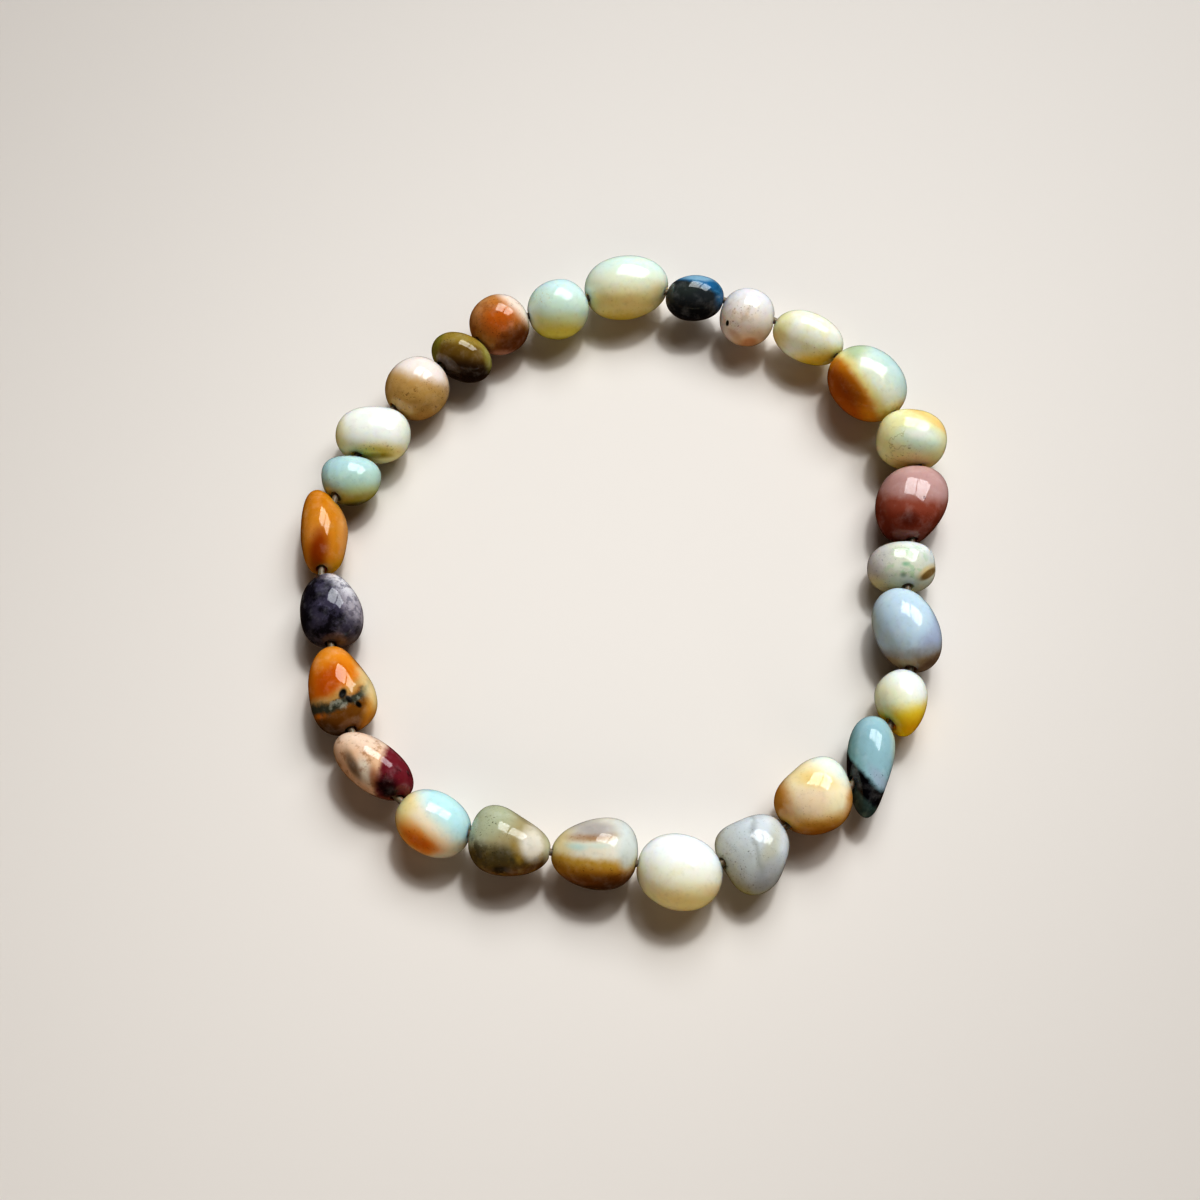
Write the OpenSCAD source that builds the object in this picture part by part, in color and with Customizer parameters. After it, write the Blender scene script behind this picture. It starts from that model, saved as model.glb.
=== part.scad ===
// Stretch bracelet: a loop of tumbled, polished stones on one elastic string, lying on a surface.
// Millimetres, +Z up. The origin is the middle of the loop on the surface that it lies on.
// The loop runs clockwise from the far side, and the near side is -Y.

/* [Stones] */
// Length of a middling stone, roughly along the string
stone_along = 7; // [5:0.1:9]
// Width of a middling stone across the string
stone_across = 6.7; // [5:0.1:8]
// Height of a middling stone as it lies
stone_tall = 6.5; // [4.5:0.1:8]
// Spare string between neighbouring stones
stone_gap = 0.15; // [0.15:0.05:0.6]

/* [String and drilling] */
// Diameter of the elastic string
string_d = 0.7; // [0.5:0.1:1]
// Room between the string and the wall of each drilled hole
drill_room = 0.25; // [0.2:0.05:0.4]

/* [Smoothness] */
// Sides round each stone
stone_sides = 16; // [12:2:16]
// Rings from end to end of each stone
stone_rings = 14; // [9:1:14]

/* [Hidden] */
// Columns of the stones table. Long is a share of stone_along, wide and out are shares of
// stone_across, tall and lift are shares of stone_tall, and slack is a share of stone_gap.
NAME = 0;   // node's name
LONG = 1;   // the stone's length, roughly along the string
WIDE = 2;   // its width
TALL = 3;   // its height
TURN = 4;   // degrees that its length is turned from the string, towards the outside
OUT = 5;    // how far its middle lies outside the string
LIFT = 6;   // height of its lowest point above the surface, 0 where it rests
BOXY = 7;   // 2 for an ellipsoid, and more for a squarer pebble
TAPER = 8;  // how much slimmer its front end is than its middle
SLACK = 9;  // spare string in front of it, beyond the gap that every joint has
TINT = 10;  // colour
stones = [
    ["stone_01_pale_mint", 1.33, 1.03, 1.03, 4, 0.16, 0.00, 2.1, 0.05, 0, "#d3dfb6"],
    ["stone_02_dark_blue", 0.91, 0.72, 0.75, 12, -0.07, 0.20, 2.1, 0, 0, "#2c3d48"],
    ["stone_03_milk_white", 0.85, 0.95, 0.97, 10, -0.13, 0.03, 2.1, 0, 0, "#d8d0c4"],
    ["stone_04_lemon", 1.14, 0.77, 0.87, 8, 0.04, 0.08, 2.1, 0, 0, "#ebe3ad"],
    ["stone_05_green_amber", 1.29, 1.13, 1.10, 4, 0.02, 0.00, 2.1, 0, 0.5, "#c9cf9c"],
    ["stone_06_pale_yellow", 0.88, 1.11, 1.00, -28, 0.05, 0.06, 2.3, 0, 0, "#d6d49a"],
    ["stone_07_mauve", 1.26, 1.11, 0.98, 0, -0.06, 0.00, 2.2, 0, 0, "#a06a58"],
    ["stone_08_speckled_grey", 0.73, 1.05, 0.85, 12, -0.10, 0.00, 2.4, 0, 0, "#b9bda4"],
    ["stone_09_blue_grey", 1.30, 0.95, 1.00, 22, -0.03, 0.00, 2.1, 0, 0, "#a9b8bd"],
    ["stone_10_yellow", 0.98, 0.78, 0.88, 16, 0.02, 0.03, 2.1, 0.1, 0, "#e2d488"],
    ["stone_11_aqua_black", 1.51, 0.68, 0.78, 27, 0.08, 0.05, 2.2, 0.25, 0, "#8fb0ab"],
    ["stone_12_honey_cream", 1.10, 1.02, 1.00, 0, -0.13, 0.05, 2.2, 0, 1, "#d9b878"],
    ["stone_13_grey_green", 1.01, 1.08, 0.92, 0, 0.10, 0.00, 2.2, 0, 0, "#a5a58c"],
    ["stone_14_cream_white", 1.17, 1.06, 1.08, -16, 0.12, 0.00, 2.1, 0, 0, "#ece6c8"],
    ["stone_15_ochre_ring", 1.16, 1.00, 1.00, 8, -0.07, 0.00, 2.1, 0.18, 0, "#b79a58"],
    ["stone_16_moss_grey", 1.12, 0.95, 0.82, 0, 0.00, 0.15, 2.1, -0.2, 0, "#96947a"],
    ["stone_17_sky_peach", 1.06, 0.88, 0.90, -5, 0.08, 0.04, 2.1, 0, 1, "#d8d8c0"],
    ["stone_18_cream_wine", 1.30, 0.70, 0.92, 18, 0.02, 0.04, 2.1, 0, 0.5, "#c29a80"],
    ["stone_19_orange_black", 1.34, 0.98, 0.95, 0, 0.01, 0.00, 2.1, 0.1, 0, "#c98a3c"],
    ["stone_20_slate_purple", 1.12, 0.92, 0.93, 0, -0.07, 0.00, 2.1, 0.1, 0.5, "#565260"],
    ["stone_21_orange", 1.41, 0.72, 0.80, 10, 0.08, 0.06, 2.1, 0.1, 0, "#cb8836"],
    ["stone_22_aqua", 0.76, 0.95, 0.78, 20, -0.08, 0.06, 2.1, 0, 0, "#a9c4b2"],
    ["stone_23_white_olive", 0.82, 1.19, 0.87, 30, 0.02, 0.04, 2.3, 0, 0, "#e6e2c8"],
    ["stone_24_tan", 0.99, 1.00, 1.00, 0, 0.00, 0.00, 2.1, 0, 0, "#c2a27c"],
    ["stone_25_olive_brown", 0.66, 1.05, 0.88, 24, -0.05, 0.06, 2.1, 0, 0, "#6f5f34"],
    ["stone_26_rust", 0.92, 0.98, 1.00, 0, 0.12, 0.00, 2.1, 0, 0, "#b06a34"],
    ["stone_27_mint", 0.96, 0.95, 0.98, 0, -0.04, 0.03, 2.1, 0, 0, "#bfd0ae"],
];

// Bumps and dents of single stones: the stone's number, the direction as degrees round from
// its front towards the outside and degrees up, the push as a share of the stone's radius,
// below 0 for a dent or a flat side, and the spread in degrees.
bumps = [
    [7, 131, 0, 0.14, 40],
    [7, 52, 0, -0.16, 36],
    [7, -155, 0, -0.08, 35],
    [8, 75, 35, -0.16, 24],
    [10, 180, 0, 0.08, 30],
    [10, -104, 0, 0.14, 32],
    [10, 125, 0, 0.08, 32],
    [10, 8, 0, 0.08, 30],
    [10, -38, 0, -0.20, 34],
    [11, 60, 0, -0.24, 36],
    [12, 60, 0, -0.12, 35],
    [12, -76, 0, -0.20, 38],
    [12, -152, 10, 0.16, 32],
    [13, -48, 0, 0.18, 30],
    [13, -154, 0, 0.12, 35],
    [13, 42, 0, 0.16, 30],
    [13, -96, 0, -0.05, 30],
    [13, 128, 0, -0.24, 36],
    [15, -130, 0, 0.10, 32],
    [16, -54, 10, 0.16, 30],
    [16, -108, 20, -0.16, 30],
    [19, 137, 0, 0.12, 35],
    [19, -125, 0, 0.12, 35],
    [19, -60, 10, -0.16, 32],
    [20, -56, 0, -0.13, 32],
    [20, -150, 0, 0.12, 32],
    [20, 140, 0, 0.08, 32],
    [21, 34, 0, 0.18, 28],
    [21, 160, 0, 0.18, 28],
    [21, -150, 0, 0.18, 28],
    [21, -90, 0, 0.16, 30],
    [21, -30, 0, -0.10, 30],
    [22, 50, 0, 0.20, 30],
    [22, -61, 0, 0.10, 35],
    [22, -178, 0, 0.10, 35],
    [23, -40, 10, 0.06, 35],
    [23, 180, 0, -0.10, 30],
];

// The way of the string round the loop, seen from above, from the far side clockwise. It is
// drawn for the real loop, and it grows or shrinks with the string that the stones take up.
route = [
    [-3.4, 29.5], [7.5, 30.1], [16.1, 26.7], [24.9, 19.8], [29.5, 10.2], [28, 1.3],
    [27.2, -4], [26.9, -12], [24.5, -17.3], [20.6, -22.9], [14.5, -26.5], [8.2, -30],
    [-2.8, -29.3], [-14, -27], [-22.8, -21.5], [-27.2, -9.3], [-28.8, 1.5], [-26, 11.3],
    [-20.3, 19.2], [-12, 25.9],
];

count = len(stones);
string_sides = 8;                       // sides of the string
span_steps = 12;                        // steps of the route between two of its points
bend_reach = string_d / 2;              // length of string each side of a joint that bends
drill_d = string_d + 2 * drill_room;    // bore of every stone
string_z = stone_tall * 0.54;           // height of the string above the surface

function total(list) = list * [for (item = list) 1];

// A closed smooth curve through points
function along_span(p, q, r, s, t) =
    (2 * q + (r - p) * t + (2 * p - 5 * q + 4 * r - s) * t * t
        + (3 * q - p - 3 * r + s) * t * t * t) / 2;
function smooth_loop(points) =
    let (n = len(points))
    [for (i = [0 : n - 1], step = [0 : span_steps - 1])
        along_span(points[(i + n - 1) % n], points[i], points[(i + 1) % n],
            points[(i + 2) % n], step / span_steps)];

// Lengths run from the start of a loop to each of its points, and back to the start
function runs_of(loop) =
    let (n = len(loop))
    [for (i = 0, run = 0; i <= n; run = run + norm(loop[(i + 1) % n] - loop[i % n]), i = i + 1) run];

// The point of a loop at a length from its start
function point_at(loop, runs, length) =
    let (n = len(loop))
    [for (axis = [0, 1]) lookup(length, [for (i = [0 : n]) [runs[i], loop[i % n][axis]]])];

function turned(point, angle) = [
    point.x * cos(angle) - point.y * sin(angle),
    point.x * sin(angle) + point.y * cos(angle),
    point.z,
];
function aimed(round, up) = [cos(up) * cos(round), cos(up) * sin(round), sin(up)];
function lows(points) = [for (axis = [0 : 2]) min([for (point = points) point[axis]])];
function highs(points) = [for (axis = [0 : 2]) max([for (point = points) point[axis]])];

// How far stone i reaches in one direction, as a share: a squared ball with its bumps
function reach(i, way) =
    let (boxy = stones[i][BOXY])
    pow(pow(abs(way.x), boxy) + pow(abs(way.y), boxy) + pow(abs(way.z), boxy), -1 / boxy)
    * (1 + total([for (bump = bumps) bump[0] != i + 1 ? 0 :
        bump[3] * exp(-pow(acos(min(1, max(-1, way * aimed(bump[1], bump[2])))) / bump[4], 2))]));

// One pebble's surface: a back end, rings from back to front, and a front end
function pebble_shape(i) =
    let (taper = stones[i][TAPER])
    [for (ring = [0 : stone_rings], side = [0 : stone_sides - 1])
        if ((ring > 0 && ring < stone_rings) || side == 0)
            let (
                tilt = 180 * ring / stone_rings,
                way = [-cos(tilt), sin(tilt) * cos(360 * side / stone_sides),
                    sin(tilt) * sin(360 * side / stone_sides)],
                point = way * reach(i, way),
                slim = 1 - taper * point.x
            )
            [point.x, point.y * slim, point.z * slim]];

// The pebble at its own length, width and height, turned on the string, with its lowest
// point at its lift above the surface and the string's way along +X
function own_points(i) =
    let (
        stone = stones[i],
        size = [stone[LONG] * stone_along, stone[WIDE] * stone_across, stone[TALL] * stone_tall],
        shape = pebble_shape(i),
        low = lows(shape),
        high = highs(shape)
    )
    [for (point = shape)
        let (share = [for (axis = [0 : 2]) (point[axis] - low[axis]) / (high[axis] - low[axis])])
        turned([(share.x - 0.5) * size.x, (share.y - 0.5) * size.y, share.z * size.z], stone[TURN])
            + [0, stone[OUT] * stone_across, stone[LIFT] * stone_tall]];
own = [for (i = [0 : count - 1]) own_points(i)];

// The joint between stone i and the next lies in the upright plane that parts the two with
// the least string, for the bend of the string there. This gives the string from the one's
// middle to the joint, and from the joint to the other's middle.
function parted(i, bend) =
    let (
        half_gap = (1 + stones[i][SLACK]) * stone_gap / 2,
        choices = [for (tilt = [-50 : 5 : 50])
            let (a = tilt + bend / 2, b = tilt - bend / 2)
            [(half_gap + max(own[i] * [cos(a), sin(a), 0])) / cos(a),
                (half_gap - min(own[(i + 1) % count] * [cos(b), sin(b), 0])) / cos(b)]],
        lengths = [for (choice = choices) choice[0] + choice[1]]
    )
    choices[search(min(lengths), lengths)[0]];
function parted_all(bends) = [for (i = [0 : count - 1]) parted(i, bends[i])];

// String that each stone takes up behind its middle, and in all
function behind(parts) = [for (i = [0 : count - 1]) parts[(i + count - 1) % count][1]];
function runs_for(parts) = behind(parts) + [for (part = parts) part[0]];

// The joints along the route, which is scaled to the string that the stones take up
drawn = smooth_loop(route);
drawn_length = runs_of(drawn)[len(drawn)];
function joints_for(string_runs) =
    let (
        starts = [for (i = 0, run = 0; i < count; run = run + string_runs[i], i = i + 1) run],
        grown = drawn * (total(string_runs) / drawn_length),
        grown_runs = runs_of(grown)
    )
    [for (start = starts) point_at(grown, grown_runs, start)];
function headings_of(joints) = [for (i = [0 : count - 1])
    let (way = joints[(i + 1) % count] - joints[i])
    atan2(way.y, way.x)];
function bends_of(joints) =
    let (headings = headings_of(joints))
    [for (i = [0 : count - 1])
        let (bend = headings[(i + 1) % count] - headings[i])
        bend - 360 * round(bend / 360)];

// The stones' room sets the bends, and the bends set the room, so it settles in two rounds
straight = parted_all([for (i = [0 : count - 1]) 0]);
bent = parted_all(bends_of(joints_for(runs_for(straight))));
settled = parted_all(bends_of(joints_for(runs_for(bent))));
string_runs = runs_for(settled);
joints = joints_for(string_runs);
headings = headings_of(joints);

// The middle of stone i, on the string from its joint behind to its joint ahead
function seat(i) =
    joints[i] + (joints[(i + 1) % count] - joints[i]) * behind(settled)[i] / string_runs[i];

// The same pebble at its place in the loop
function stone_points(i) =
    let (middle = seat(i))
    [for (point = own[i]) turned(point, headings[i]) + [middle.x, middle.y, 0]];

// Faces of a closed skin of rings, between one point at each end
pebble_faces =
    let (n = stone_sides, last = 1 + (stone_rings - 1) * n)
    concat(
        [for (k = [0 : n - 1]) [0, 1 + k, 1 + (k + 1) % n]],
        [for (ring = [0 : stone_rings - 3], k = [0 : n - 1], half = [0, 1])
            let (a = 1 + ring * n + k, b = 1 + ring * n + (k + 1) % n)
            half == 0 ? [a, a + n, b + n] : [a, b + n, b]],
        [for (k = [0 : n - 1]) [last, last - n + (k + 1) % n, last - n + k]]
    );

// The loop is centred on its own box
all_points = [for (i = [0 : count - 1]) each stone_points(i)];
centre = (lows(all_points) + highs(all_points)) / 2;

module centred() {
    translate([-centre.x, -centre.y, 0]) children();
}

// A stone, drilled right through along the string
module stone(i) {
    middle = seat(i);
    color(stones[i][TINT])
        centred()
            difference() {
                polyhedron(stone_points(i), pebble_faces);
                translate([middle.x, middle.y, string_z])
                    rotate([0, 90, headings[i]])
                        cylinder(h = 3 * string_runs[i], d = drill_d, center = true, $fn = 32);
            }
}

// The elastic string: straight through each stone, with a short bend at each joint
string_path = [for (i = [0 : count - 1], end = [0, 1])
    let (way = turned([bend_reach, 0, 0], headings[i]), joint = joints[(i + end) % count])
    [joint.x + (1 - 2 * end) * way.x, joint.y + (1 - 2 * end) * way.y]];

module elastic_string() {
    n = len(string_path);
    points = [for (i = [0 : n - 1], side = [0 : string_sides - 1])
        let (
            before = string_path[(i + n - 1) % n],
            here = string_path[i],
            after = string_path[(i + 1) % n],
            way = (here - before) / norm(here - before) + (after - here) / norm(after - here),
            across = [way.y, -way.x] / norm(way),
            mitre = 2 / norm(way),
            angle = 360 * side / string_sides
        )
        [here.x + across.x * mitre * cos(angle) * string_d / 2,
            here.y + across.y * mitre * cos(angle) * string_d / 2,
            string_z + sin(angle) * string_d / 2]];
    faces = [for (i = [0 : n - 1], side = [0 : string_sides - 1], half = [0, 1])
        let (
            next = (i + 1) % n * string_sides,
            a = i * string_sides + side,
            b = i * string_sides + (side + 1) % string_sides,
            c = next + (side + 1) % string_sides,
            d = next + side
        )
        half == 0 ? [a, c, b] : [a, d, c]];
    color("#e9e6dc")
        centred()
            polyhedron(points, faces);
}

for (i = [0 : count - 1])
    stone(i);
elastic_string();
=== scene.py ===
# Beaded stretch bracelet: tumbled, polished stones on one elastic string, on a pale floor

from math import atan2, cos, pi, radians, sin
import bpy
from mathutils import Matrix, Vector


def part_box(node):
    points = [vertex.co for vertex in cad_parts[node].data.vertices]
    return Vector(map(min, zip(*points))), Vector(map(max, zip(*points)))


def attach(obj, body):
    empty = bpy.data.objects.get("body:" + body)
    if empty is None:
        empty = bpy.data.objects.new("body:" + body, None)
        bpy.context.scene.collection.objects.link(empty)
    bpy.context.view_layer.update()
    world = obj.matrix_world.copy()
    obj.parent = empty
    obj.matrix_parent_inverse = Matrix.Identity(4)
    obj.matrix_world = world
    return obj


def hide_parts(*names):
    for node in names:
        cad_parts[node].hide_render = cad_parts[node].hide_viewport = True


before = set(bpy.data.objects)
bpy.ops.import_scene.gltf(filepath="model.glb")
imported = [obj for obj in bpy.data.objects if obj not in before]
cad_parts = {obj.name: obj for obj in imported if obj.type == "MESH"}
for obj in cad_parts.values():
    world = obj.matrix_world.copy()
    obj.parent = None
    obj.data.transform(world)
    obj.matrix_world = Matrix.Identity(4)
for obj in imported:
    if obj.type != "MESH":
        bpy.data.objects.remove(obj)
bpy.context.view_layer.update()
print("frame loaded:", len(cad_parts), "nodes")

# Camera
camera = {
    "target": (-0.00285, -0.00476, 0.0033),  # what the middle of the picture looks at, metres
    "distance": 0.1578,                      # from the target
    "elevation": 67,                         # degrees above the floor, from the near side
    "lens": 46.5,                            # millimetres, on a 36 mm sensor
}


def addCamera():
    slope = radians(camera["elevation"])
    away = Vector((0, -cos(slope), sin(slope))) * camera["distance"]
    bpy.ops.object.camera_add(location=Vector(camera["target"]) + away, rotation=(pi / 2 - slope, 0, 0))
    eye = bpy.context.object
    eye.name = "camera"
    eye.data.lens = camera["lens"]
    eye.data.sensor_width = 36
    eye.data.clip_start = 0.01
    bpy.context.scene.camera = eye


addCamera()


# Small helpers for modelling
def deselectAll():
    bpy.ops.object.select_all(action="DESELECT")


def pick(obj):
    deselectAll()
    obj.select_set(True)
    bpy.context.view_layer.objects.active = obj


def applyModifier(obj, kind, **settings):
    pick(obj)
    modifier = obj.modifiers.new(kind, kind)
    for name, value in settings.items():
        setattr(modifier, name, value)
    bpy.ops.object.modifier_apply(modifier=modifier.name)


def selectVertices(obj, wanted):
    # selects in edit mode the vertices that pass a test on their place
    bpy.ops.object.mode_set(mode="OBJECT")
    for item in (*obj.data.polygons, *obj.data.edges):
        item.select = False
    for vertex in obj.data.vertices:
        vertex.select = wanted(vertex.co)
    bpy.ops.object.mode_set(mode="EDIT")


def placeInMesh(obj):
    pick(obj)
    bpy.ops.object.transform_apply(location=True, rotation=True, scale=True)


def middleOf(node):
    low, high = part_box(node)
    return (low + high) / 2


def polar(point):
    return atan2(point.y, point.x)


# The string runs straight through each stone and bends at the joints between them
string = {
    "radius": 0.00035,
    "roundness": 3,             # bevel resolution of the tube
    "frameSides": 8,            # corners in one ring of the frame's string
    "jointGap": 0.05,           # radians round the loop, more than one joint's two rings span
    # painted shade: dull grey-beige, the tone of the shaded gaps between the stones
    "shadedTones": ("786a58", "94866f"),
    "strand": 2500.0,           # scale of the faint strands
    "glow": 0.4,                # how much light goes into the clear thread
    "reach": 0.0004,            # and how far, metres
}


def findBends():
    # the frame's string has one ring each side of every bend, so its corners gather there
    places = {tuple(round(x, 7) for x in v.co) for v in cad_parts["elastic_string"].data.vertices}
    corners = sorted((Vector(place) for place in places), key=polar)
    groups = [[corners[0]]]
    for corner in corners[1:]:
        if polar(corner) - polar(groups[-1][-1]) > string["jointGap"]:
            groups.append([])
        groups[-1].append(corner)
    if polar(groups[0][0]) + 2 * pi - polar(groups[-1][-1]) < string["jointGap"]:
        groups[0] += groups.pop()
    groups.sort(key=lambda group: polar(sum(group, Vector())), reverse=True)
    bends = []
    ring = string["frameSides"]
    for index, group in enumerate(groups):
        onward = sum(groups[(index + 1) % len(groups)], Vector()) - sum(groups[index - 1], Vector())
        group.sort(key=onward.dot)
        bends.append((sum(group[:ring], Vector()) / ring, sum(group[ring:], Vector()) / ring))
    return bends


bends = findBends()
print("bends found in the string:", len(bends))


def runThrough(node):
    # the ends of the straight run of string in a stone
    turn = polar(middleOf(node))
    ahead = [index for index, bend in enumerate(bends) if polar(bend[0]) < turn]
    front = ahead[0] if ahead else 0
    return bends[front - 1][1], bends[front][0]


def makeString():
    path = [place for bend in bends for place in bend]
    curve = bpy.data.curves.new("string", "CURVE")
    curve.dimensions = "3D"
    curve.bevel_depth = string["radius"]
    curve.bevel_resolution = string["roundness"]
    spline = curve.splines.new("POLY")
    spline.points.add(len(path) - 1)
    for point, place in zip(spline.points, path):
        point.co = (*place, 1)
    spline.use_cyclic_u = True
    thread = bpy.data.objects.new("elasticString", curve)
    bpy.context.scene.collection.objects.link(thread)
    pick(thread)
    bpy.ops.object.convert(target="MESH")
    thread = bpy.context.object
    bpy.ops.object.shade_smooth()
    return thread


# Stones
pebble = {
    "ballSide": 0.024,      # cube that becomes the ball around a stone, metres
    "roundness": 4,         # its subdivision levels
    "smoothing": 20,        # passes that melt the frame's coarse facets
    "melt": 0.5,            # strength of each pass
    "giveBack": -9.5,       # one pass the other way, which gives the ends their fullness again
    "swell": 0.00005,       # the facets lie this much inside a round stone
    # what the stones with room beside them swell by on top of that
    "fuller": {1: 0.00005, 2: 0.00003, 4: 0.00005, 12: 0.00005, 15: 0.0001, 16: 0.0001, 17: 0.0001,
               18: 0.00005, 20: 0.00008, 27: 0.00004},
    "waveDepth": 0.00010,   # unevenness that tumbling leaves
    "waveSize": 0.0032,
    "weld": 0.000002,       # corners of the frame's stone nearer than this are one
    "bore": 0.0012,         # drilled hole
    "boreRoom": 0.0000024,  # corners this close to the bore's wall count as on it
    "boreSides": 24,
    "rimAngle": 35,         # degrees, edges sharper than this stay sharp
}


def numberOf(node):
    # 7 for stone_07_mauve
    return int(node[6:8])


def plugBore(node, back, front):
    # a copy of the frame's stone without its drilled hole, to wrap the smooth skin on
    pick(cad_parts[node])
    bpy.ops.object.duplicate()
    core = bpy.context.object
    way = (front - back).normalized()

    def nearAxis(place):
        offset = place - back
        return (offset - way * offset.dot(way)).length < pebble["bore"] / 2 + pebble["boreRoom"]

    bpy.ops.object.mode_set(mode="EDIT")
    bpy.ops.mesh.select_mode(type="VERT")
    bpy.ops.mesh.select_all(action="SELECT")
    bpy.ops.mesh.remove_doubles(threshold=pebble["weld"])
    bpy.ops.mesh.select_all(action="DESELECT")
    selectVertices(core, nearAxis)
    bpy.ops.mesh.delete(type="ONLY_FACE")
    bpy.ops.mesh.select_all(action="SELECT")
    bpy.ops.mesh.delete_loose()
    bpy.ops.mesh.select_all(action="DESELECT")
    bpy.ops.mesh.select_non_manifold(extend=False, use_wire=False, use_boundary=True,
                                     use_multi_face=False, use_non_contiguous=False, use_verts=False)
    bpy.ops.mesh.fill_holes(sides=0)
    bpy.ops.object.mode_set(mode="OBJECT")
    return core


def wrapSkin(core, seat, heading):
    # a ball shrunk on the core and smoothed
    deselectAll()
    bpy.ops.mesh.primitive_cube_add(size=pebble["ballSide"], location=seat, rotation=(0, 0, heading))
    stone = bpy.context.object
    levels = pebble["roundness"]
    applyModifier(stone, "SUBSURF", levels=levels, render_levels=levels)
    applyModifier(stone, "CAST", factor=1)
    applyModifier(stone, "SHRINKWRAP", target=core, wrap_method="PROJECT",
                  use_negative_direction=True, use_positive_direction=False)
    applyModifier(stone, "SMOOTH", factor=pebble["melt"], iterations=pebble["smoothing"])
    applyModifier(stone, "SMOOTH", factor=pebble["giveBack"], iterations=1)
    return stone


def drillBore(stone, seat, heading):
    deselectAll()
    bpy.ops.mesh.primitive_cylinder_add(vertices=pebble["boreSides"], radius=pebble["bore"] / 2,
                                        depth=pebble["ballSide"], location=seat,
                                        rotation=(0, pi / 2, heading))
    drill = bpy.context.object
    applyModifier(stone, "BOOLEAN", operation="DIFFERENCE", object=drill, solver="EXACT")
    pick(drill)
    bpy.ops.object.delete()


def makePebble(node):
    back, front = runThrough(node)
    way = (front - back).normalized()
    seat = back + way * (middleOf(node) - back).dot(way)
    heading = atan2(way.y, way.x)

    core = plugBore(node, back, front)
    stone = wrapSkin(core, seat, heading)
    stone.name = "polished_" + node
    pick(core)
    bpy.ops.object.delete()

    swell = pebble["swell"] + pebble["fuller"].get(numberOf(node), 0)
    applyModifier(stone, "DISPLACE", strength=swell, mid_level=0)
    applyModifier(stone, "DISPLACE", texture=waves, texture_coords="GLOBAL", strength=pebble["waveDepth"],
                  mid_level=0.5)
    applyModifier(stone, "SUBSURF", levels=1, render_levels=1)
    drillBore(stone, seat, heading)
    placeInMesh(stone)
    bpy.ops.object.shade_smooth_by_angle(angle=radians(pebble["rimAngle"]))
    return stone


# Shader maths
class Wire:
    # one output of a node; arithmetic on it adds Math nodes
    def __init__(self, tree, socket):
        self.tree = tree
        self.socket = socket

    def node(self, kind, settings=None, inputs=None, output=0):
        new = self.tree.nodes.new(kind)
        for name, value in (settings or {}).items():
            setattr(new, name, value)
        for name, value in (inputs or {}).items():
            if isinstance(value, Wire):
                self.tree.links.new(value.socket, new.inputs[name])
            else:
                new.inputs[name].default_value = value
        return Wire(self.tree, new.outputs[output]) if new.outputs else None

    def math(self, operation, first, second=0.0):
        return self.node("ShaderNodeMath", {"operation": operation}, {0: first, 1: second})

    def __add__(self, other):
        return self.math("ADD", self, other)

    def __radd__(self, other):
        return self.math("ADD", other, self)

    def __sub__(self, other):
        return self.math("SUBTRACT", self, other)

    def __rsub__(self, other):
        return self.math("SUBTRACT", other, self)

    def __mul__(self, other):
        return self.math("MULTIPLY", self, other)

    def __rmul__(self, other):
        return self.math("MULTIPLY", other, self)

    def __truediv__(self, other):
        return self.math("DIVIDE", self, other)

    def __pow__(self, other):
        return self.math("POWER", self, other)

    def __abs__(self):
        return self.math("ABSOLUTE", self)

    def between(self, start, end, top=1.0):
        # 0 before start, top after end, with soft shoulders
        return self.node("ShaderNodeMapRange", {"interpolation_type": "SMOOTHSTEP"}, {
            "Value": self, "From Min": start, "From Max": end, "To Min": 0.0, "To Max": top})


def newMaterial(name):
    # an empty material and the wire of its Object coordinates
    material = bpy.data.materials.new(name)
    material.use_nodes = True
    tree = material.node_tree
    tree.nodes.clear()
    return material, Wire(tree, tree.nodes.new("ShaderNodeTexCoord").outputs["Object"])


def rgb(code):
    # a colour as written on screen, made linear
    parts = [int(code[i:i + 2], 16) / 255 for i in (0, 2, 4)]
    return (*(c / 12.92 if c <= 0.04045 else ((c + 0.055) / 1.055) ** 2.4 for c in parts), 1)


# What all the stones have in common
mineral = {
    "unit": 0.0033,        # metres to one unit of the patterns' scale
    "apart": 7.3,          # units between two stones' patterns, so that no two share one
    "milk": 0.12,          # pale clouds inside the stone
    "milkTone": "ffffff",
    "dust": 0.08,          # fine dark grain
    "dustTone": "2a1a0c",
    "ripple": 0.2,         # strength of the unevenness under the polish
    "rippleDepth": 0.0003,
    "pitDepth": 0.3,       # of the pits, against the ripple
    "lustre": 1.55,        # index of refraction
    "haze": 0.04,          # how much rougher than the polish the dullest places are
    "glow": 5,             # share of light that goes in is this times the clearness, 1 at most
    "reach": 0.015,        # how far it goes in, metres, for a clearness of 1
    "reachTones": (1.0, 0.75, 0.5),
}


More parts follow.
